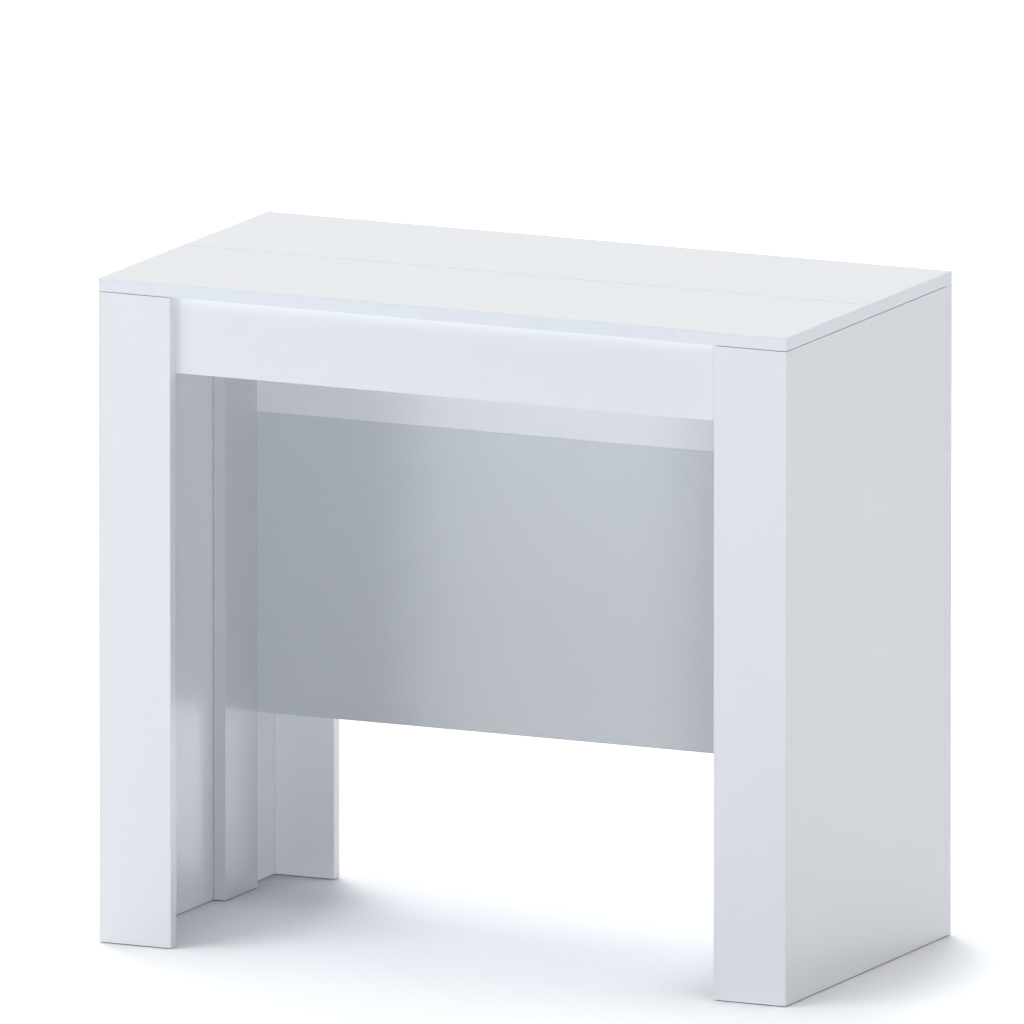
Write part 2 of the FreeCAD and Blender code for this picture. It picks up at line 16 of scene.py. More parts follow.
import bmesh
import bpy
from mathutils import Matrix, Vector


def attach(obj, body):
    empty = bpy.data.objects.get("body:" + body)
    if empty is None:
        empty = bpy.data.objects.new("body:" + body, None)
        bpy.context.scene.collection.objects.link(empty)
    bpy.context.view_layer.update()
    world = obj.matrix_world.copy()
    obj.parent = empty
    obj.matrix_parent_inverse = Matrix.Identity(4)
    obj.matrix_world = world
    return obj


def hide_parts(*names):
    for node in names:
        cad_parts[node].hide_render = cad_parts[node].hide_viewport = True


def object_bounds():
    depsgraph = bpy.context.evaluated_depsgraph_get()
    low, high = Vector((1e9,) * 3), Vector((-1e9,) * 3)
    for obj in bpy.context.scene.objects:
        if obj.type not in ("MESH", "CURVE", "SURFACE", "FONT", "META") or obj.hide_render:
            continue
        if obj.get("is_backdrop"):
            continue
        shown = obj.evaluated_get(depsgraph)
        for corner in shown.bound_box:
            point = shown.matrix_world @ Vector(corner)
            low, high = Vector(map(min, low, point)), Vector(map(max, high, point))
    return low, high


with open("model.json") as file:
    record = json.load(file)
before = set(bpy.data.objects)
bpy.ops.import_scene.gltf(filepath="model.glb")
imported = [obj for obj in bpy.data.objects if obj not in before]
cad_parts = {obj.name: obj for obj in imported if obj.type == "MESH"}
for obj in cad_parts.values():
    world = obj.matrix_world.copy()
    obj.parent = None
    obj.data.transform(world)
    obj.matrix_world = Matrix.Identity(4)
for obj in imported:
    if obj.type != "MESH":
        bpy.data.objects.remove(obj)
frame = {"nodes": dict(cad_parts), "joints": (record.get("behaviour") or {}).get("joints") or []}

LOG = logging.getLogger("console_table")
MM = 0.001

Tree = bpy.types.NodeTree
Socket = bpy.types.NodeSocket
Value = float | Socket
Inputs = dict[str | int, Any]
Size = dict[str, Socket]


class Slot(Enum):
    """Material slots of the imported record."""

    TOP = "top_lacquer"
    FRAME = "frame_lacquer"
    INNER = "inner_foil"
    BEECH = "beech"
    ALUMINIUM = "anodised_aluminium"
    NYLON = "grey_nylon"
    STEEL = "zinc_plated_steel"


class Run(Enum):
    """The way the foil was drawn along a board, as how far its marks reach in X, Y and Z."""

    ACROSS = (14.0, 1.0, 1.0)
    UPRIGHT = (1.0, 1.0, 14.0)


class Facing(Enum):
    """The local axis of a fitting that faces along its spot, and the axis that it is turned about."""

    DRIVEN = ("Z", "AUTO")
    BENT = ("X", "Z")


def linear(colour: str) -> tuple[float, float, float, float]:
    """Turn an sRGB hex colour into linear RGBA.

    Args:
        colour: The colour as six hex digits.

    Returns:
        The linear red, green and blue, and a full alpha.
    """
    parts = [int(colour[at:at + 2], 16) / 255 for at in (0, 2, 4)]
    red, green, blue = (part / 12.92 if part <= 0.04045 else ((part + 0.055) / 1.055) ** 2.4
                        for part in parts)
    return red, green, blue, 1.0


def add_node(tree: Tree, kind: str, inputs: Inputs | None = None, **settings: Any) -> bpy.types.Node:
    """Add a node with its settings, then set or link its inputs.

    Args:
        tree: The shader or geometry tree that gets the node.
        kind: The node's type name.
        inputs: For each input, a value, a socket to link, or a list of sockets.
        **settings: Properties of the node itself.

    Returns:
        The new node.
    """
    node = tree.nodes.new(kind)
    for name, value in settings.items():
        setattr(node, name, value)
    for name, value in (inputs or {}).items():
        for source in value if isinstance(value, list) else [value]:
            if isinstance(source, Socket):
                tree.links.new(source, node.inputs[name])
            else:
                node.inputs[name].default_value = source
    return node


def first(tree: Tree, kind: str, inputs: Inputs | None = None, **settings: Any) -> Socket:
    """Add a node as add_node does, and give its first output."""
    return add_node(tree, kind, inputs, **settings).outputs[0]


def calc(tree: Tree, operation: str, *values: Value) -> Socket:
    """Add a sum on one, two or three values.

    Args:
        tree: The shader or geometry tree.
        operation: The sum's name.
        *values: Numbers or sockets in the order that the sum takes them.

    Returns:
        The socket that gives the result.
    """
    return first(tree, "ShaderNodeMath", dict(enumerate(values)), operation=operation)


def combine(tree: Tree, x: Value = 0.0, y: Value = 0.0, z: Value = 0.0) -> Socket:
    """Add the node that joins three values to a vector."""
    return first(tree, "ShaderNodeCombineXYZ", {"X": x, "Y": y, "Z": z})


def empty_tree(owner: bpy.types.Material | bpy.types.World) -> Tree:
    """Turn on the nodes of a material or world and give its emptied tree."""
    owner.use_nodes = True
    owner.node_tree.nodes.clear()
    return owner.node_tree


def noise(tree: Tree, place: Socket, mark_mm: float, detail: float,
          reach: tuple[float, float, float] = (1.0, 1.0, 1.0)) -> Socket:
    """Add a soft noise with marks of a real size.

    Args:
        tree: The material's tree.
        place: The coordinates in metres.
        mark_mm: The size of one mark in millimetres.
        detail: How many finer layers lie on it.
        reach: How many times longer the marks are drawn in X, Y and Z.

    Returns:
        The socket that gives the noise from 0 to 1.
    """
    scale = tuple(1 / (mark_mm * MM * part) for part in reach)
    drawn = first(tree, "ShaderNodeMapping", {"Vector": place, "Scale": scale})
    return first(tree, "ShaderNodeTexNoise", {"Vector": drawn, "Scale": 1.0, "Detail": detail})


def blend(tree: Tree, share: Socket, start: str | Socket, end: str | Socket) -> Socket:
    """Add a blend of two colours.

    Args:
        tree: The material's tree.
        share: How much of the second colour there is, from 0 to 1.
        start: The first colour, as a hex colour or a socket.
        end: The second colour, as a hex colour or a socket.

    Returns:
        The socket that gives the colour.
    """
    low, high = (linear(colour) if isinstance(colour, str) else colour for colour in (start, end))
    return add_node(tree, "ShaderNodeMix", {0: share, 6: low, 7: high}, data_type="RGBA").outputs[2]


def spread(tree: Tree, value: Socket, ends: tuple[float, float],
           source: tuple[float, float] = (0.3, 0.7), **settings: Any) -> Socket:
    """Add the node that spreads a value over a new range.

    Args:
        tree: The shader tree.
        value: The value.
        ends: The new range.
        source: The old range. Most of a noise lies in the one that is set here.
        **settings: Properties of the node itself.

    Returns:
        The socket that gives the new value.
    """
    sockets = {"Value": value, "From Min": source[0], "From Max": source[1],
               "To Min": ends[0], "To Max": ends[1]}
    return first(tree, "ShaderNodeMapRange", sockets, **settings)


def relief(tree: Tree, height: Socket, depth_mm: float) -> Socket:
    """Add the fine relief that a height from 0 to 1 gives at a real depth in millimetres."""
    return first(tree, "ShaderNodeBump", {"Strength": 1.0, "Distance": depth_mm * MM, "Height": height})


@dataclass(frozen=True)
class Finish:
    """A surface finish: what the material is and how it was made."""

    name: str
    slot: Slot

    def material(self) -> bpy.types.Material:
        """Give the finish's material with its node tree, made on first use."""
        known = bpy.data.materials.get(self.name)
        if known:
            return known
        material = bpy.data.materials.new(self.name)
        tree = empty_tree(material)
        place = add_node(tree, "ShaderNodeTexCoord").outputs["Object"]
        shader = first(tree, "ShaderNodeBsdfPrincipled", self.paint(tree, place))
        add_node(tree, "ShaderNodeOutputMaterial", {"Surface": shader})
        return material

    def paint(self, tree: Tree, place: Socket) -> Inputs:
        """Add the nodes that colour the shader.

        Args:
            tree: The material's tree.
            place: The object coordinates in metres.

        Returns:
            The Principled shader's inputs.
        """
        raise NotImplementedError


# Gloss lacquer, sprayed on board and polished: a cool white with a deep, slightly soft mirror image of what
# stands round it, the fine orange peel of the spray, and cloudy patches where the polish has dulled.
@dataclass(frozen=True)
class GlossLacquer(Finish):
    """White lacquer, sprayed and polished."""

    full: str = "F3F8FF"
    thin: str = "F0F5FC"
    roughness: tuple[float, float] = (0.215, 0.25)
    coat_roughness: float = 0.12
    index: float = 1.52
    drift_mm: float = 260.0
    haze_mm: float = 45.0
    peel_mm: float = 2.4
    peel_depth_mm: float = 0.004

    def paint(self, tree: Tree, place: Socket) -> Inputs:
        """Lay a drifting white, a hazy gloss and a fine peel on the board.

        Args:
            tree: The material's tree.
            place: The object coordinates in metres.

        Returns:
            The Principled shader's inputs.
        """
        drift = noise(tree, place, self.drift_mm, detail=2.0)
        haze = noise(tree, place, self.haze_mm, detail=5.0)
        peel = noise(tree, place, self.peel_mm, detail=1.0)
        return {"Base Color": blend(tree, drift, self.full, self.thin),
                "Roughness": spread(tree, haze, self.roughness),
                "Normal": relief(tree, peel, self.peel_depth_mm),
                "IOR": self.index, "Coat Weight": 1.0, "Coat Roughness": self.coat_roughness}


# Satin foil, pressed on board under a roller: a greyer white than the lacquer, a broad soft sheen, faint
# bands along the way it was drawn, and a fine pearl that only shows close by.
@dataclass(frozen=True)
class SatinFoil(Finish):
    """White foil, rolled on to the board."""

    BANDS = (0.1, 0.9)

    run: Run = Run.UPRIGHT
    full: str = "F5F7FB"
    thin: str = "F3F5FA"
    roughness: tuple[float, float] = (0.29, 0.37)
    coat_roughness: float = 0.30
    index: float = 1.49
    band_mm: float = 70.0
    pearl_mm: float = 0.9
    pearl_depth_mm: float = 0.003

    def paint(self, tree: Tree, place: Socket) -> Inputs:
        """Lay drawn bands of white and sheen and a fine pearl on the board.

        Args:
            tree: The material's tree.
            place: The object coordinates in metres.

        Returns:
            The Principled shader's inputs.
        """
        bands = noise(tree, place, self.band_mm, detail=0.0, reach=self.run.value)
        pearl = noise(tree, place, self.pearl_mm, detail=1.0)
        return {"Base Color": blend(tree, bands, self.full, self.thin),
                "Roughness": spread(tree, bands, self.roughness, self.BANDS,
                                    interpolation_type="SMOOTHSTEP"),
                "Normal": relief(tree, pearl, self.pearl_depth_mm),
                "IOR": self.index, "Coat Weight": 1.0, "Coat Roughness": self.coat_roughness}


# Natural anodised aluminium, drawn through a die: a pale satin metal whose reflections smear across the
# fine lines that the die leaves along the bar.
@dataclass(frozen=True)
class AnodisedAluminium(Finish):
    """Aluminium, extruded and anodised in its natural colour."""

    bright: str = "CDD0D3"
    dull: str = "B9BCC0"
    roughness: tuple[float, float] = (0.30, 0.44)
    line_mm: float = 0.6
    line_reach: float = 400.0
    line_depth_mm: float = 0.004

    def paint(self, tree: Tree, place: Socket) -> Inputs:
        """Draw die lines along the bar in the metal's tone, sheen and relief.

        Args:
            tree: The material's tree.
            place: The object coordinates in metres.

        Returns:
            The Principled shader's inputs.
        """
        lines = noise(tree, place, self.line_mm, detail=3.0, reach=(1.0, self.line_reach, 1.0))
        return {"Base Color": blend(tree, lines, self.bright, self.dull),
                "Roughness": spread(tree, lines, self.roughness),
                "Normal": relief(tree, lines, self.line_depth_mm), "Metallic": 1.0}


# Moulded nylon: a mid grey with a dull waxy sheen, faint flow clouds and the fine spark-eroded grain
# of the mould.
@dataclass(frozen=True)
class MouldedNylon(Finish):
    """Grey nylon, injection moulded."""

    dark: str = "7C7F83"
    pale: str = "8E9195"
    roughness: tuple[float, float] = (0.42, 0.56)
    index: float = 1.53
    cloud_mm: float = 9.0
    grain_mm: float = 0.35
    grain_depth_mm: float = 0.01

    def paint(self, tree: Tree, place: Socket) -> Inputs:
        """Mix flow clouds and the mould's grain.

        Args:
            tree: The material's tree.
            place: The object coordinates in metres.

        Returns:
            The Principled shader's inputs.
        """
        clouds = noise(tree, place, self.cloud_mm, detail=4.0)
        grain = noise(tree, place, self.grain_mm, detail=2.0)
        return {"Base Color": blend(tree, clouds, self.dark, self.pale),
                "Roughness": spread(tree, grain, self.roughness),
                "Normal": relief(tree, grain, self.grain_depth_mm), "IOR": self.index}


# Zinc plate on pressed or rolled steel: a bluish grey metal with a faint straw tint where the passivation
# is thicker, and the fine frosted crystal of the plating, drawn at 0.5 mm so that it shows.
@dataclass(frozen=True)
class ZincPlate(Finish):
    """Steel, plated with zinc and passivated."""

    CRYSTAL = (0.0, 1.0)

    blue: str = "BEC4CB"
    straw: str = "C9C6B8"
    roughness: tuple[float, float] = (0.26, 0.42)
    tint_mm: float = 6.0
    crystal_mm: float = 0.5
    crystal_depth_mm: float = 0.006

    def paint(self, tree: Tree, place: Socket) -> Inputs:
        """Tint the plate in patches and frost it.

        Args:
            tree: The material's tree.
            place: The object coordinates in metres.

        Returns:
            The Principled shader's inputs.
        """
        tint = noise(tree, place, self.tint_mm, detail=3.0)
        crystal = add_node(tree, "ShaderNodeTexVoronoi",
                           {"Vector": place, "Scale": 1 / (self.crystal_mm * MM)}).outputs["Distance"]
        return {"Base Color": blend(tree, tint, self.blue, self.straw),
                "Roughness": spread(tree, crystal, self.roughness, self.CRYSTAL),
                "Normal": relief(tree, crystal, self.crystal_depth_mm), "Metallic": 1.0}


# Beech, turned and pressed to fluted rod: a warm pinkish tan, dry and matt, with straight grain along the
# rod and the short darker flecks of its rays.
@dataclass(frozen=True)
class TurnedBeech(Finish):
    """Bare beech, turned to rod. Its grain follows the rod's own attribute."""

    FLECKS = (0.62, 0.72)

    pale: str = "DDBB95"
    dark: str = "C79E76"
    fleck: str = "A9805A"
    roughness: tuple[float, float] = (0.55, 0.72)
    grain_mm: float = 0.7
    grain_reach: float = 30.0
    fleck_mm: float = 0.5
    fleck_reach: float = 5.0
    grain_depth_mm: float = 0.03

    def paint(self, tree: Tree, place: Socket) -> Inputs:
        """Run the grain along the rod and strew its flecks.

        Args:
            tree: The material's tree.
            place: The object coordinates in metres.

        Returns:
            The Principled shader's inputs.
        """
        rod = add_node(tree, "ShaderNodeAttribute", attribute_name=FlutedRod.GRAIN).outputs["Vector"]
        grain = noise(tree, rod, self.grain_mm, detail=4.0, reach=(1.0, 1.0, self.grain_reach))
        rays = noise(tree, place, self.fleck_mm, detail=1.0, reach=(1.0, 1.0, self.fleck_reach))
        tan = blend(tree, grain, self.pale, self.dark)
        return {"Base Color": blend(tree, spread(tree, rays, (0.0, 1.0), self.FLECKS), tan, self.fleck),
                "Roughness": spread(tree, grain, self.roughness),
                "Normal": relief(tree, grain, self.grain_depth_mm)}


@dataclass(frozen=True)
class Finishes:
    """The finishes of the whole table."""

    top: Finish = GlossLacquer("gloss_white_lacquer_sprayed", Slot.TOP)
    upright: Finish = SatinFoil("satin_white_foil_upright", Slot.FRAME, Run.UPRIGHT)
    across: Finish = SatinFoil("satin_white_foil_across", Slot.FRAME, Run.ACROSS)
    # Painted shade: the boards inside the table get a darker grey copy of the satin foil for the shade that
    # falls there.
    inner_upright: Finish = SatinFoil("satin_foil_painted_shade_upright", Slot.INNER, Run.UPRIGHT,
                                      full="DADDE0", thin="D8DBDF")
    inner_across: Finish = SatinFoil("satin_foil_painted_shade_across", Slot.INNER, Run.ACROSS,
                                     full="D9DDE1", thin="D7DBDF")
    bar: Finish = AnodisedAluminium("anodised_aluminium_extruded", Slot.ALUMINIUM)
    nylon: Finish = MouldedNylon("grey_nylon_moulded", Slot.NYLON)
    steel: Finish = ZincPlate("zinc_plated_steel_pressed", Slot.STEEL)
    beech: Finish = TurnedBeech("beech_turned", Slot.BEECH)


@dataclass(frozen=True)
class Spot:
    """Where one fitting sits, and the direction that it faces."""

    point: Vector
    facing: Vector


def solids(node: str) -> list[list[Vector]]:
    """Split a CAD node into the corner points of its separate solids.

    Args:
        node: The node's name.

    Returns:
        The points of each solid.
    """
    mesh = frame["nodes"][node].data
    home: dict[tuple[float, ...], tuple[float, ...]] = {}

    def root(key: tuple[float, ...]) -> tuple[float, ...]:
        """Follow a point to the one that stands for its solid."""
        while home[key] != key:
            home[key] = home[home[key]]
            key = home[key]
        return key

    keys = [tuple(round(part, 6) for part in vertex.co) for vertex in mesh.vertices]
    for key in keys:
        home.setdefault(key, key)
    for face in mesh.polygons:
        start, *others = (keys[index] for index in face.vertices)
        for other in others:
            home[root(other)] = root(start)
    groups: dict[tuple[float, ...], list[Vector]] = {}
    for key in home:
        groups.setdefault(root(key), []).append(Vector(key))
    return list(groups.values())


def corners(points: list[Vector]) -> tuple[Vector, Vector]:
    """Give the lowest and highest corner of some points."""
    return Vector(map(min, zip(*points))), Vector(map(max, zip(*points)))


def long_axis(low: Vector, high: Vector) -> int:
    """Give the axis along which a box is longest."""
    return max(range(3), key=lambda index: high[index] - low[index])


def unit(axis: int, sign: float = 1.0) -> Vector:
    """Give a direction along one axis."""
    return Vector(sign if index == axis else 0.0 for index in range(3))


def half_of(tree: Tree, value: Socket) -> Socket:
    """Add the node that halves a value."""
    return calc(tree, "MULTIPLY", value, 0.5)


def cylinder(tree: Tree, radius: Socket, depth: Socket, around: int | Socket, rings: int = 1) -> Socket:
    """Add a cylinder round the origin along Z, with so many corners around and rings up its side."""
    return first(tree, "GeometryNodeMeshCylinder",
                 {"Vertices": around, "Side Segments": rings, "Radius": radius, "Depth": depth})


def crowned(tree: Tree, mesh: Socket, height: Socket, narrowing: float) -> Socket:
    """Add the nodes that round a cylinder off towards its lower end.

    Args:
        tree: The geometry tree.
        mesh: The cylinder round the origin.
        height: Its height.
        narrowing: The share of its radius that it loses at the lower end.

    Returns:
        The socket that gives the rounded mesh.
    """
    place = first(tree, "GeometryNodeInputPosition")
    level = add_node(tree, "ShaderNodeSeparateXYZ", {"Vector": place}).outputs["Z"]
    drop = calc(tree, "SUBTRACT", 0.5, calc(tree, "DIVIDE", level, height))
    narrow = calc(tree, "MULTIPLY_ADD", calc(tree, "POWER", drop, 3.0), -narrowing, 1.0)
    moved = first(tree, "ShaderNodeVectorMath", {0: place, 1: combine(tree, narrow, narrow, 1.0)},
                  operation="MULTIPLY")
    return first(tree, "GeometryNodeSetPosition", {"Geometry": mesh, "Position": moved})


def pointed(tree: Tree, radius: Socket, tip: float, length: Socket, around: int) -> Socket:
    """Add a point that rises along Z from the origin and narrows to the radius of its tip."""
    return first(tree, "GeometryNodeMeshCone",
                 {"Vertices": around, "Radius Top": tip, "Radius Bottom": radius, "Depth": length})


def shift(tree: Tree, mesh: Socket, x: Value = 0.0, z: Value = 0.0,
          turn: tuple[float, float, float] = (0.0, 0.0, 0.0)) -> Socket:
    """Add the node that turns a mesh and moves it.

    Args:
        tree: The geometry tree.
        mesh: The mesh.
        x: How far it moves along X.
        z: How far it moves along Z.
        turn: The turns about X, Y and Z that come before.

    Returns:
        The socket that gives the moved mesh.
    """
    return first(tree, "GeometryNodeTransform",
                 {"Geometry": mesh, "Translation": combine(tree, x=x, z=z), "Rotation": turn})


def sweep(tree: Tree, path: Socket, profile: Socket) -> Socket:
    """Add the node that draws a profile along a path and closes its ends."""
    return first(tree, "GeometryNodeCurveToMesh",
                 {"Curve": path, "Profile Curve": profile, "Fill Caps": True})


@dataclass
class Fitting:
    """A small part that a node tree makes once and sets at each of its spots.

    Every field is a size in metres or a count, and becomes a named input of the tree.
    """

    FACING = Facing.DRIVEN
    SHARP_DEGREES = 32.0
    MERGE = 0.002 * MM
    CROWN_RINGS = 8

    def spot(self, points: list[Vector]) -> Spot:
        """Find where a fitting sits from the points of its CAD solid.

        Args:
            points: The solid's corner points.

        Returns:
            The fitting's spot.
        """
        raise NotImplementedError

    def shape(self, tree: Tree, size: Size) -> Socket:
        """Add the nodes that make one fitting at the origin.

        Args:
            tree: The geometry tree.
            size: The tree's inputs by field name.

        Returns:
            The socket that gives the fitting's mesh.
        """
        raise NotImplementedError

    def tree(self) -> Tree:
        """Build the tree that makes the fitting, sets it at every spot and gives it a material.

        Returns:
            The geometry tree with its named inputs.
        """
        tree = bpy.data.node_groups.new(type(self).__name__, "GeometryNodeTree")
        tree.interface.new_socket("Geometry", in_out="OUTPUT", socket_type="NodeSocketGeometry")
        kinds = {"Spots": "NodeSocketGeometry", "Material": "NodeSocketMaterial"}
        for entry in fields(self):
            is_count = isinstance(getattr(self, entry.name), int)
            kinds[entry.name] = "NodeSocketInt" if is_count else "NodeSocketFloat"
        for name, kind in kinds.items():
            tree.interface.new_socket(name, in_out="INPUT", socket_type=kind)
        given = add_node(tree, "NodeGroupInput").outputs
        mesh = self.shape(tree, {entry.name: given[entry.name] for entry in fields(self)})
        axis, pivot = self.FACING.value
        facing = first(tree, "GeometryNodeInputNamedAttribute", {"Name": "facing"},
                       data_type="FLOAT_VECTOR")
        turn = first(tree, "FunctionNodeAlignRotationToVector", {"Vector": facing},
                     axis=axis, pivot_axis=pivot)
        placed = first(tree, "GeometryNodeInstanceOnPoints",
                       {"Points": given["Spots"], "Instance": mesh, "Rotation": turn})
        real = first(tree, "GeometryNodeRealizeInstances", {"Geometry": placed})
        dressed = first(tree, "GeometryNodeSetMaterial", {"Geometry": real, "Material": given["Material"]})
        add_node(tree, "NodeGroupOutput", {"Geometry": dressed})
        return tree

    def make(self, node: str, finish: Finish) -> bpy.types.Object:
        """Make the fittings that stand for a CAD node.

        Args:
            node: The node whose solids they stand for.
            finish: The fittings' finish.

        Returns:
            One plain mesh object with all the fittings in place.
        """
        spots = [self.spot(points) for points in solids(node)]
        base = bpy.data.meshes.new(f"{node}_spots")
        base.from_pydata([spot.point for spot in spots], [], [])
        facing = base.attributes.new("facing", "FLOAT_VECTOR", "POINT")
        for entry, spot in zip(facing.data, spots):
            entry.vector = spot.facing
        piece = bpy.data.objects.new(f"{node}_detailed", base)
        bpy.context.scene.collection.objects.link(piece)
        modifier = piece.modifiers.new("fittings", "NODES")
        modifier.node_group = self.tree()
        values = {entry.name: getattr(self, entry.name) for entry in fields(self)}
        values["Material"] = finish.material()
        for item in modifier.node_group.interface.items_tree:
            if item.in_out == "INPUT" and item.name in values:
                modifier[item.identifier] = values[item.name]
        made = bpy.data.meshes.new_from_object(piece.evaluated_get(bpy.context.evaluated_depsgraph_get()))
        piece.modifiers.clear()
        piece.data = made
        self.clean(made)
        return piece

    def clean(self, mesh: bpy.types.Mesh) -> None:
        """Merge doubles, turn the faces outwards and smooth the round ones."""
        work = bmesh.new()
        work.from_mesh(mesh)
        bmesh.ops.remove_doubles(work, verts=work.verts, dist=self.MERGE)
        bmesh.ops.recalc_face_normals(work, faces=work.faces)
        for face in work.faces:
            face.smooth = True
        work.to_mesh(mesh)
        work.free()
        mesh.set_sharp_from_angle(angle=math.radians(self.SHARP_DEGREES))


@dataclass
class PanHeadScrew(Fitting):
    """A pan-head wood screw with a cross recess, a rolled thread and a gimlet point, driven along its Z."""

    HEAD_CORNERS = 40
    SHANK_CORNERS = 20
    CROWN = 0.42
    TIP = 0.15 * MM
    TURN_STEPS = 14
    RIDGE_SIDES = 4

    head_diameter: float = 8.0 * MM
    head_height: float = 2.4 * MM
    shank_diameter: float = 4.0 * MM
    length: float = 13.0 * MM
    point_length: float = 4.0 * MM
    thread_pitch: float = 1.6 * MM
    thread_height: float = 0.5 * MM
    recess_span: float = 4.2 * MM
    recess_width: float = 0.9 * MM
    recess_depth: float = 1.5 * MM

    def spot(self, points: list[Vector]) -> Spot:
        """Find where the head bears and which way the screw is driven.

        Args:
            points: The solid's corner points.

        Returns:
            The middle of the bearing face, and the driving direction.
        """
        low, high = corners(points)
        middle = (low + high) / 2
        axis = long_axis(low, high)
        others = [index for index in range(3) if index != axis]
        widest = max(points, key=lambda point: sum((point[index] - middle[index]) ** 2 for index in others))
        point = middle.copy()
        point[axis] = widest[axis]
        return Spot(point, unit(axis, math.copysign(1.0, middle[axis] - widest[axis])))

    def shape(self, tree: Tree, size: Size) -> Socket:
        """Add the nodes for the crowned head, the recess, the shank, the point and the thread.

        Args:
            tree: The geometry tree.
            size: The tree's inputs by field name.

        Returns:
            The socket that gives the screw's mesh.
        """
        meshes = [self.head(tree, size), *self.shank(tree, size)]
        return first(tree, "GeometryNodeJoinGeometry", {"Geometry": meshes})

    def head(self, tree: Tree, size: Size) -> Socket:
        """Add the nodes for the crowned head with its cross recess.

        Args:
            tree: The geometry tree.
            size: The tree's inputs by field name.

        Returns:
            The socket that gives the head's mesh.
        """
        radius, height = half_of(tree, size["head_diameter"]), size["head_height"]
        blank = cylinder(tree, radius, height, self.HEAD_CORNERS, self.CROWN_RINGS)
        to_crown = calc(tree, "MULTIPLY", height, -0.5)
        depth = calc(tree, "MULTIPLY", size["recess_depth"], 2.0)
        wings = []
        for span, width in (("recess_span", "recess_width"), ("recess_width", "recess_span")):
            extent = combine(tree, size[span], size[width], depth)
            wing = first(tree, "GeometryNodeMeshCube", {"Size": extent})
            wings.append(shift(tree, wing, z=to_crown))
        cut = first(tree, "GeometryNodeMeshBoolean",
                    {"Mesh 1": crowned(tree, blank, height, self.CROWN), "Mesh 2": wings},
                    operation="DIFFERENCE", solver="EXACT")
        return shift(tree, cut, z=to_crown)

    def shank(self, tree: Tree, size: Size) -> list[Socket]:
        """Add the nodes for the core, the point and the thread.

        Args:
            tree: The geometry tree.
            size: The tree's inputs by field name.

        Returns:
            The sockets that give their meshes.
        """
        core = calc(tree, "SUBTRACT", half_of(tree, size["shank_diameter"]), size["thread_height"])
        plain = calc(tree, "SUBTRACT", size["length"], size["point_length"])
        rod = shift(tree, cylinder(tree, core, plain, self.SHANK_CORNERS), z=half_of(tree, plain))
        point = pointed(tree, core, self.TIP, size["point_length"], self.SHANK_CORNERS)
        turns = calc(tree, "DIVIDE", plain, size["thread_pitch"])
        helix = first(tree, "GeometryNodeCurveSpiral",
                      {"Resolution": self.TURN_STEPS, "Rotations": turns, "Start Radius": core,
                       "End Radius": core, "Height": plain})
        ridge = first(tree, "GeometryNodeCurvePrimitiveCircle",
                      {"Resolution": self.RIDGE_SIDES, "Radius": size["thread_height"]})
        return [rod, shift(tree, point, z=plain), sweep(tree, helix, ridge)]


@dataclass
class FloorGlide(Fitting):
    """A nailed floor glide with a rounded foot. Its nail points along its Z."""

    FOOT_CORNERS = 40
    NAIL_CORNERS = 16
    CROWN = 0.2
    TIP = 0.1 * MM

    diameter: float = 12.0 * MM
    height: float = 1.0 * MM
    nail_diameter: float = 3.0 * MM
    nail_length: float = 10.0 * MM
    point_length: float = 3.5 * MM

    def spot(self, points: list[Vector]) -> Spot:
        """Find the middle of the glide's foot.

        Args:
            points: The solid's corner points.

        Returns:
            The point on the floor, facing up.
        """
        low, high = corners(points)
        return Spot(Vector(((low.x + high.x) / 2, (low.y + high.y) / 2, low.z)), unit(2))

    def shape(self, tree: Tree, size: Size) -> Socket:
        """Add the nodes for the rounded foot and the nail.

        Args:
            tree: The geometry tree.
            size: The tree's inputs by field name.

        Returns:
            The socket that gives the glide's mesh.
        """
        radius, height = half_of(tree, size["diameter"]), size["height"]
        foot = cylinder(tree, radius, height, self.FOOT_CORNERS, self.CROWN_RINGS)
        foot = shift(tree, crowned(tree, foot, height, self.CROWN), z=half_of(tree, height))
        wire = half_of(tree, size["nail_diameter"])
        plain = calc(tree, "SUBTRACT", size["nail_length"], size["point_length"])
        middle = calc(tree, "MULTIPLY_ADD", plain, 0.5, height)
        nail = shift(tree, cylinder(tree, wire, plain, self.NAIL_CORNERS), z=middle)
        point = pointed(tree, wire, self.TIP, size["point_length"], self.NAIL_CORNERS)
        point = shift(tree, point, z=calc(tree, "ADD", plain, height))
        return first(tree, "GeometryNodeJoinGeometry", {"Geometry": [foot, nail, point]})


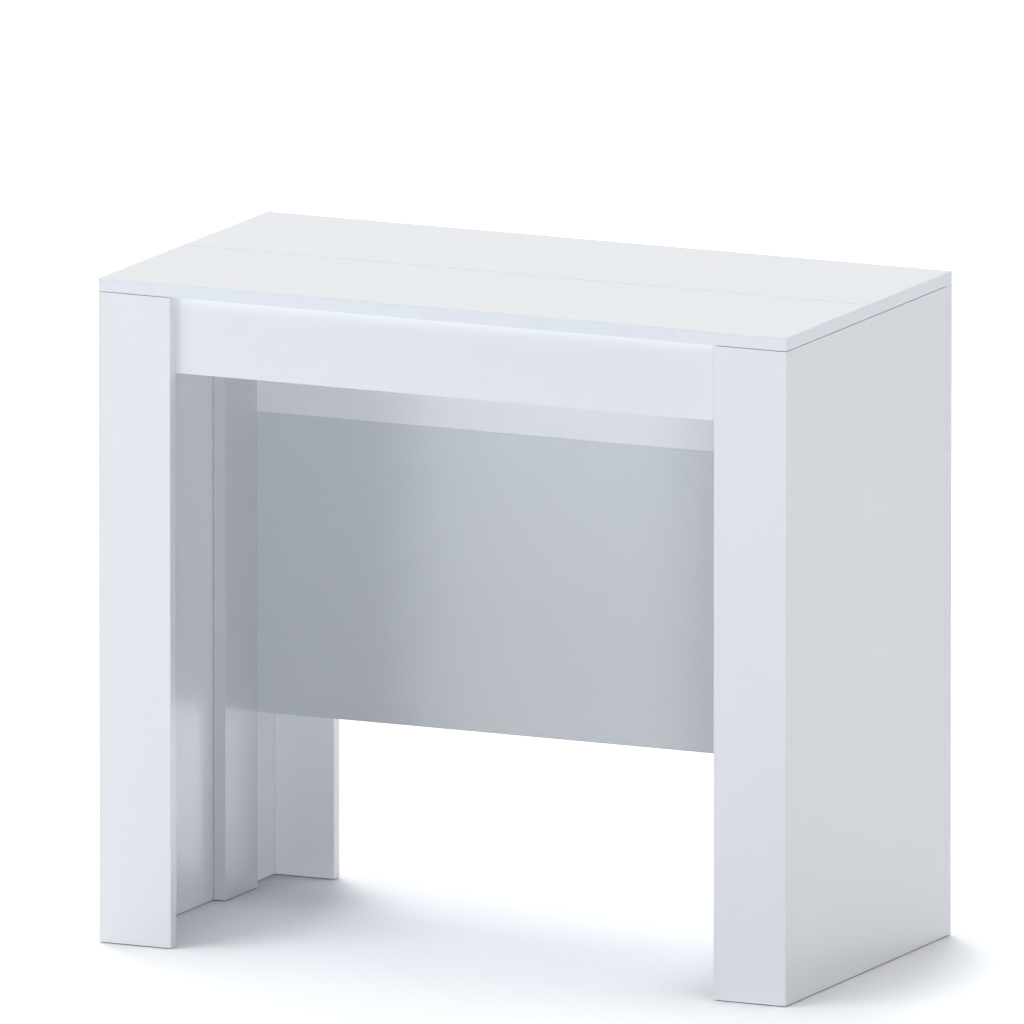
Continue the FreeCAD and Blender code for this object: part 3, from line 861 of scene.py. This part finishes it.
@dataclass
class FlutedRod(Fitting):
    """A dowel or pin: a fluted rod with chamfered ends. Its own coordinates carry the grain."""

    GRAIN = "grain"
    FLUTE_STEPS = 6.0
    RINGS = 3
    END_SHARE = 0.9

    diameter: float = 8.0 * MM
    length: float = 30.0 * MM
    chamfer: float = 1.0 * MM
    flute_depth: float = 0.35 * MM
    flutes: int = 18

    def spot(self, points: list[Vector]) -> Spot:
        """Find the rod's middle and its long way.

        Args:
            points: The solid's corner points.

        Returns:
            The rod's middle, facing along it.
        """
        low, high = corners(points)
        return Spot((low + high) / 2, unit(long_axis(low, high)))

    def shape(self, tree: Tree, size: Size) -> Socket:
        """Add the nodes for the fluted rod and its chamfers.

        Args:
            tree: The geometry tree.
            size: The tree's inputs by field name.

        Returns:
            The socket that gives the rod's mesh.
        """
        radius, half = half_of(tree, size["diameter"]), half_of(tree, size["length"])
        around = calc(tree, "MULTIPLY", size["flutes"], self.FLUTE_STEPS)
        rod = cylinder(tree, radius, size["length"], around, self.RINGS)
        place = first(tree, "GeometryNodeInputPosition")
        part = add_node(tree, "ShaderNodeSeparateXYZ", {"Vector": place}).outputs
        inner = calc(tree, "MULTIPLY", half, self.END_SHARE)
        at_end = calc(tree, "GREATER_THAN", calc(tree, "ABSOLUTE", part["Z"]), inner)
        shoulder = calc(tree, "SUBTRACT", half, size["chamfer"])
        shoulder = calc(tree, "MULTIPLY", shoulder, calc(tree, "SIGN", part["Z"]))
        along = first(tree, "ShaderNodeMix", {0: at_end, 2: shoulder, 3: part["Z"]}, data_type="FLOAT")
        angle = calc(tree, "ARCTAN2", part["Y"], part["X"])
        wave = calc(tree, "COSINE", calc(tree, "MULTIPLY", angle, size["flutes"]))
        groove = calc(tree, "MULTIPLY", calc(tree, "MAXIMUM", wave, 0.0), size["flute_depth"])
        cut = first(tree, "ShaderNodeMix", {0: at_end, 2: groove, 3: size["chamfer"]}, data_type="FLOAT")
        share = calc(tree, "SUBTRACT", 1.0, calc(tree, "DIVIDE", cut, radius))
        x, y = (calc(tree, "MULTIPLY", part[axis], share) for axis in "XY")
        moved = combine(tree, x, y, along)
        shaped = first(tree, "GeometryNodeSetPosition", {"Geometry": rod, "Position": moved})
        own = first(tree, "GeometryNodeInputPosition")
        return first(tree, "GeometryNodeStoreNamedAttribute",
                     {"Geometry": shaped, "Name": self.GRAIN, "Value": own},
                     data_type="FLOAT_VECTOR", domain="POINT")


@dataclass
class AngleBracket(Fitting):
    """A bracket bent from strip, with rounded ends and two holes.

    It hangs from its corner and faces along its X.
    """

    FACING = Facing.BENT
    BEND_STEPS = 8
    END_CORNERS = 72
    HOLE_CORNERS = 24
    LEVEL = 0.01 * MM

    leg: float = 20.0 * MM
    width: float = 20.0 * MM
    thickness: float = 2.0 * MM
    bend_radius: float = 2.2 * MM
    end_radius: float = 12.9 * MM
    end_offset: float = 8.0 * MM
    hole_diameter: float = 4.2 * MM
    hole_offset: float = 12.0 * MM

    def spot(self, points: list[Vector]) -> Spot:
        """Find the bracket's corner and the way it faces.

        Args:
            points: The solid's corner points.

        Returns:
            The middle of the corner edge, facing away from the upright board.
        """
        low, high = corners(points)
        foot_low, foot_high = corners([point for point in points if point.z < low.z + self.LEVEL])
        axis = min((0, 1), key=lambda index: foot_high[index] - foot_low[index])
        at_low = foot_low[axis] - low[axis] < high[axis] - foot_high[axis]
        point = (low + high) / 2
        point.z = high.z
        point[axis] = low[axis] if at_low else high[axis]
        return Spot(point, unit(axis, 1.0 if at_low else -1.0))

    def shape(self, tree: Tree, size: Size) -> Socket:
        """Add the nodes for the bent strip, its rounded ends and its holes.

        Args:
            tree: The geometry tree.
            size: The tree's inputs by field name.

        Returns:
            The socket that gives the bracket's mesh.
        """
        solid = self.strip(tree, size)
        reach = calc(tree, "MULTIPLY", size["leg"], 3.0)
        bore = half_of(tree, size["hole_diameter"])
        ends = cylinder(tree, size["end_radius"], reach, self.END_CORNERS)
        holes = cylinder(tree, bore, reach, self.HOLE_CORNERS)
        cuts = ((ends, "end_offset", "INTERSECT"), (holes, "hole_offset", "DIFFERENCE"))
        for drum, offset, operation in cuts:
            down = calc(tree, "MULTIPLY", size[offset], -1.0)
            upright = shift(tree, drum, z=down, turn=(0.0, math.pi / 2, 0.0))
            for tool in (upright, shift(tree, drum, x=size[offset])):
                sockets = ({"Mesh 2": [solid, tool]} if operation == "INTERSECT"
                           else {"Mesh 1": solid, "Mesh 2": tool})
                solid = first(tree, "GeometryNodeMeshBoolean", sockets, operation=operation, solver="EXACT")
        return solid

    def strip(self, tree: Tree, size: Size) -> Socket:
        """Add the nodes for the plain bent strip.

        Args:
            tree: The geometry tree.
            size: The tree's inputs by field name.

        Returns:
            The socket that gives the strip's mesh.
        """
        half = half_of(tree, size["thickness"])
        run = calc(tree, "SUBTRACT", size["leg"], half)
        line = first(tree, "GeometryNodeMeshLine", {"Count": 3})
        index = first(tree, "GeometryNodeInputIndex")
        out = calc(tree, "MAXIMUM", calc(tree, "SUBTRACT", index, 1.0), 0.0)
        down = calc(tree, "MAXIMUM", calc(tree, "SUBTRACT", 1.0, index), 0.0)
        x = calc(tree, "MULTIPLY_ADD", out, run, half)
        z = calc(tree, "MULTIPLY", calc(tree, "MULTIPLY_ADD", down, run, half), -1.0)
        moved = combine(tree, x=x, z=z)
        elbow = first(tree, "GeometryNodeSetPosition", {"Geometry": line, "Position": moved})
        path = first(tree, "GeometryNodeMeshToCurve", {"Mesh": elbow})
        path = first(tree, "GeometryNodeFilletCurve",
                     {"Curve": path, "Radius": size["bend_radius"], "Count": self.BEND_STEPS}, mode="POLY")
        profile = first(tree, "GeometryNodeCurvePrimitiveQuadrilateral",
                        {"Width": size["thickness"], "Height": size["width"]})
        return sweep(tree, path, profile)


@dataclass
class SubAssembly:
    """Pieces of the table that ride on one body."""

    body: str
    finishes: Finishes

    def build(self) -> None:
        """Dress the pieces and make the fittings."""
        raise NotImplementedError

    def dress(self, names: Iterable[str], finish: Finish) -> None:
        """Give CAD nodes a finish.

        Args:
            names: The nodes' names.
            finish: Their finish.
        """
        for name in names:
            for slot in frame["nodes"][name].material_slots:
                slot.material = finish.material()
            LOG.info("%s: %s", name, finish.name)

    def fit(self, fitting: Fitting, names: Iterable[str], finish: Finish) -> None:
        """Make detailed fittings for CAD nodes and let them ride on the body.

        Args:
            fitting: The kind of fitting.
            names: The nodes that it stands for, one piece for each.
            finish: The fittings' finish.
        """
        for name in names:
            piece = fitting.make(name, finish)
            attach(piece, self.body)
            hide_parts(name)
            LOG.info("%s: %d faces, %s", piece.name, len(piece.data.polygons), finish.name)


@dataclass
class TableFrame(SubAssembly):
    """One of the two frames: its boards, its half of the top and its fittings."""

    name: str
    tops: tuple[str, ...]
    uprights: tuple[str, ...]
    cross_boards: tuple[str, ...]
    inner_uprights: tuple[str, ...] = ()
    inner_cross_boards: tuple[str, ...] = ()
    pins: tuple[str, ...] = ()
    short_screw: float = 13.0 * MM
    long_screw: float = 25.0 * MM

    def build(self) -> None:
        """Dress the boards and make the fittings."""
        self.dress(self.tops, self.finishes.top)
        self.dress(self.uprights, self.finishes.upright)
        self.dress(self.cross_boards, self.finishes.across)
        self.dress(self.inner_uprights, self.finishes.inner_upright)
        self.dress(self.inner_cross_boards, self.finishes.inner_across)
        self.fit(FlutedRod(), (f"{self.name}_dowels", *self.pins), self.finishes.beech)
        self.fit(PanHeadScrew(length=self.short_screw), (f"{self.name}_screws",), self.finishes.steel)
        self.fit(PanHeadScrew(length=self.long_screw), (f"{self.name}_apron_screws",), self.finishes.steel)
        self.fit(AngleBracket(), (f"{self.name}_brackets",), self.finishes.steel)
        self.fit(FloorGlide(), (f"{self.name}_glides",), self.finishes.nylon)


@dataclass
class GuideStage(SubAssembly):
    """One bar of a telescopic guide and the sliders that it carries."""

    name: str
    side: str

    def build(self) -> None:
        """Dress the bar and its sliders."""
        self.dress((f"{self.name}_bar_{self.side}",), self.finishes.bar)
        self.dress((f"{self.name}_sliders_{self.side}",), self.finishes.nylon)


def direction(azimuth: float, elevation: float) -> Vector:
    """Give the direction from the table to a place round it.

    Args:
        azimuth: Degrees from the front towards the right.
        elevation: Degrees above the floor.

    Returns:
        The unit direction.
    """
    around, up = math.radians(azimuth), math.radians(elevation)
    return Vector((math.sin(around) * math.cos(up), -math.cos(around) * math.cos(up), math.sin(up)))


@dataclass(frozen=True)
class Lamp:
    """A lamp of the studio. It lights the table unseen, so gloss shows the white room on every side."""

    name: str
    strength: float
    colour: str = "FAFCFF"

    def data(self) -> bpy.types.Light:
        """Make the lamp's light, without its colour and strength."""
        raise NotImplementedError

    def place(self) -> tuple[Vector, Vector]:
        """Give where the lamp hangs, and the direction to it from its aim."""
        raise NotImplementedError

    def hang(self) -> None:
        """Hang the lamp in the scene."""
        light = self.data()
        light.energy = self.strength
        light.color = linear(self.colour)[:3]
        lamp = bpy.data.objects.new(self.name, light)
        lamp.rotation_mode = "QUATERNION"
        lamp.location, back = self.place()
        lamp.rotation_quaternion = back.to_track_quat("Z", "Y")
        lamp.visible_camera = False
        lamp.visible_glossy = False
        bpy.context.scene.collection.objects.link(lamp)


@dataclass(frozen=True)
class FarLamp(Lamp):
    """A lamp so far off that its light is even. Its strength is in watts per square metre."""

    azimuth: float = 0.0
    elevation: float = 45.0
    spread_degrees: float = 35.0

    def data(self) -> bpy.types.Light:
        """Make a sun with a broad disc, without its colour and strength."""
        light = bpy.data.lights.new(self.name, "SUN")
        light.angle = math.radians(self.spread_degrees)
        return light

    def place(self) -> tuple[Vector, Vector]:
        """Give where the lamp hangs, and the direction to it from its aim."""
        return Vector(), direction(self.azimuth, self.elevation)


@dataclass(frozen=True)
class SoftBox(Lamp):
    """A square lamp near the table. Its strength is in watts."""

    spot: tuple[float, float, float] = (0.0, 0.0, 2.0)
    aim: tuple[float, float, float] = (0.0, 0.0, 0.4)
    side: float = 1.5

    def data(self) -> bpy.types.Light:
        """Make a square area light, without its colour and strength."""
        light = bpy.data.lights.new(self.name, "AREA")
        light.size = self.side
        return light

    def place(self) -> tuple[Vector, Vector]:
        """Give where the lamp hangs, and the direction to it from its aim."""
        return Vector(self.spot), Vector(self.spot) - Vector(self.aim)


@dataclass
class Studio:
    """A plain pale floor, soft light from all round and a camera far off with a long lens."""

    LAMPS = (
        SoftBox("left_box", 7.0, spot=(-3.2, 0.0, 1.2)),
        SoftBox("front_left_box", 8.0, spot=(-2.6, -2.8, 1.2)),
        FarLamp("front_left_far", 0.45, azimuth=315.0, elevation=55.0),
        FarLamp("front_left_low_far", 0.49, azimuth=340.0, elevation=2.0, spread_degrees=14.0),
        FarLamp("front_right_low_far", 0.94, azimuth=28.0, elevation=2.0, spread_degrees=14.0),
        FarLamp("overhead_far", 0.78, azimuth=90.0, elevation=80.0, spread_degrees=50.0),
        FarLamp("back_left_far", 1.16, azimuth=215.0, elevation=40.0),
        FarLamp("back_right_far", 0.06, azimuth=135.0, elevation=55.0),
    )
    SENSOR_MM = 36.0
    NEAR, FAR = 1.0, 1000.0
    # Samples of the ambient occlusion that paints shade on the floor.
    NOOK_SAMPLES = 8

    azimuth: float = 25.064
    elevation: float = 11.078
    distance: float = 53.374
    lens_mm: float = 1650.0
    aim_right: float = -0.01512
    aim_up: float = 0.10816
    floor_half: float = 80.0
    floor_bounce: float = 1.2
    floor_seen: float = 1.95
    # Painted shade on the floor: the seen white falls to this share in corners and under the table, within
    # the given reach.
    floor_nook: float = 0.4
    nook_reach: float = 0.2
    dome_colour: str = "F3F9FF"
    dome_strength: float = 0.02

    def build(self, low: Vector, high: Vector) -> None:
        """Set up floor, world, lights and camera round the table.

        Args:
            low: The lowest corner of the table.
            high: The highest corner of the table.
        """
        bpy.context.scene.view_settings.view_transform = "Standard"
        self.lay_floor()
        self.light()
        self.aim((low + high) / 2)

    @staticmethod
    def seen(tree: Tree) -> Socket:
        """Add the nodes that tell rays which show the background from rays which only carry light.

        Args:
            tree: The tree of the floor or the world.

        Returns:
            The socket that is 1 for camera, glossy and transmitted rays.
        """
        path = add_node(tree, "ShaderNodeLightPath").outputs
        direct = calc(tree, "MAXIMUM", path["Is Camera Ray"], path["Is Glossy Ray"])
        return calc(tree, "MAXIMUM", direct, path["Is Transmission Ray"])

    def lay_floor(self) -> None:
        """Lay the floor, which shows as paper white darkened by painted shade near the table for the
        camera, and throws back plain white light.
        """
        mesh = bpy.data.meshes.new("floor")
        half = self.floor_half
        edge = [(-half, -half, 0), (half, -half, 0), (half, half, 0), (-half, half, 0)]
        mesh.from_pydata(edge, [], [(0, 1, 2, 3)])
        floor = bpy.data.objects.new("floor", mesh)
        bpy.context.scene.collection.objects.link(floor)
        material = bpy.data.materials.new("matt_white_floor")
        tree = empty_tree(material)
        bounce = first(tree, "ShaderNodeBsdfDiffuse", {"Color": (*[self.floor_bounce] * 3, 1.0)})
        # Painted shade: ambient occlusion darkens the floor's seen white in corners and under the table,
        # for camera rays only.
        painted_shade_node = add_node(tree, "ShaderNodeAmbientOcclusion", {"Distance": self.nook_reach},
                         samples=self.NOOK_SAMPLES)
        from_camera = add_node(tree, "ShaderNodeLightPath").outputs["Is Camera Ray"]
        openness = calc(tree, "MAXIMUM", painted_shade_node.outputs["AO"], calc(tree, "SUBTRACT", 1.0, from_camera))
        shade = spread(tree, openness, (self.floor_nook, self.floor_seen), (0.0, 1.0))
        white = first(tree, "ShaderNodeBsdfDiffuse", {"Color": shade})
        shown = first(tree, "ShaderNodeMixShader", {0: self.seen(tree), 1: bounce, 2: white})
        add_node(tree, "ShaderNodeOutputMaterial", {"Surface": shown})
        mesh.materials.append(material)
        floor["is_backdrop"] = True

    def light(self) -> None:
        """Hang the lamps, and set a dim dome that shows white."""
        world = bpy.data.worlds.new("studio")
        bpy.context.scene.world = world
        tree = empty_tree(world)
        dome = first(tree, "ShaderNodeBackground",
                     {"Color": linear(self.dome_colour), "Strength": self.dome_strength})
        white = first(tree, "ShaderNodeBackground", {"Color": linear("FFFFFF"), "Strength": 1.0})
        shown = first(tree, "ShaderNodeMixShader", {0: self.seen(tree), 1: dome, 2: white})
        add_node(tree, "ShaderNodeOutputWorld", {"Surface": shown})
        for lamp in self.LAMPS:
            lamp.hang()

    def aim(self, middle: Vector) -> None:
        """Set the camera at the photograph's angle and frame.

        Args:
            middle: The middle of the table.
        """
        data = bpy.data.cameras.new("camera")
        data.lens = self.lens_mm
        data.sensor_width = self.SENSOR_MM
        data.clip_start, data.clip_end = self.NEAR, self.FAR
        camera = bpy.data.objects.new("camera", data)
        towards = direction(self.azimuth, self.elevation)
        turn = towards.to_track_quat("Z", "Y")
        right, up = turn @ unit(0), turn @ unit(1)
        camera.rotation_mode = "QUATERNION"
        camera.rotation_quaternion = turn
        camera.location = middle + self.aim_right * right + self.aim_up * up + self.distance * towards
        bpy.context.scene.collection.objects.link(camera)
        bpy.context.scene.camera = camera


def assemblies(finishes: Finishes) -> list[SubAssembly]:
    """List the table's sub-assemblies in the order in which they are dressed.

    Args:
        finishes: The table's finishes.

    Returns:
        The sub-assemblies.
    """
    rear = TableFrame(
        "rear_frame", finishes, "rear",
        tops=("top_rear", "leaf_1", "leaf_2", "leaf_3", "leaf_4"),
        uprights=("rear_leg_left", "rear_leg_right"),
        cross_boards=("cross_rail", "rear_apron"),
        inner_uprights=("inner_upright_left", "inner_upright_right"),
        inner_cross_boards=("modesty_panel", "leaf_shelf"),
        pins=("leaf_pins",))
    front = TableFrame(
        "front_frame", finishes, "front",
        tops=("top_front",),
        uprights=("front_leg_left", "front_leg_right", "side_panel_left", "side_panel_right"),
        cross_boards=("front_apron",),
        pins=("top_pins",))
    ends = [GuideStage(f"{name}_frame", finishes, f"{name}_guide", side)
            for name in ("rear", "front") for side in ("left", "right")]
    stages = [joint["child"] for joint in frame["joints"] if joint["child"].startswith("guide_")]
    guides = [GuideStage(body, finishes, *body.rsplit("_", 1)) for body in stages]
    return [rear, front, *ends, *guides]


def main() -> None:
    """Build the studio and the table."""
    logging.basicConfig(level=logging.INFO, format="%(message)s")
    cad_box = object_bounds()
    Studio().build(*cad_box)
    for assembly in assemblies(Finishes()):
        assembly.build()


if __name__ == "__main__":
    main()
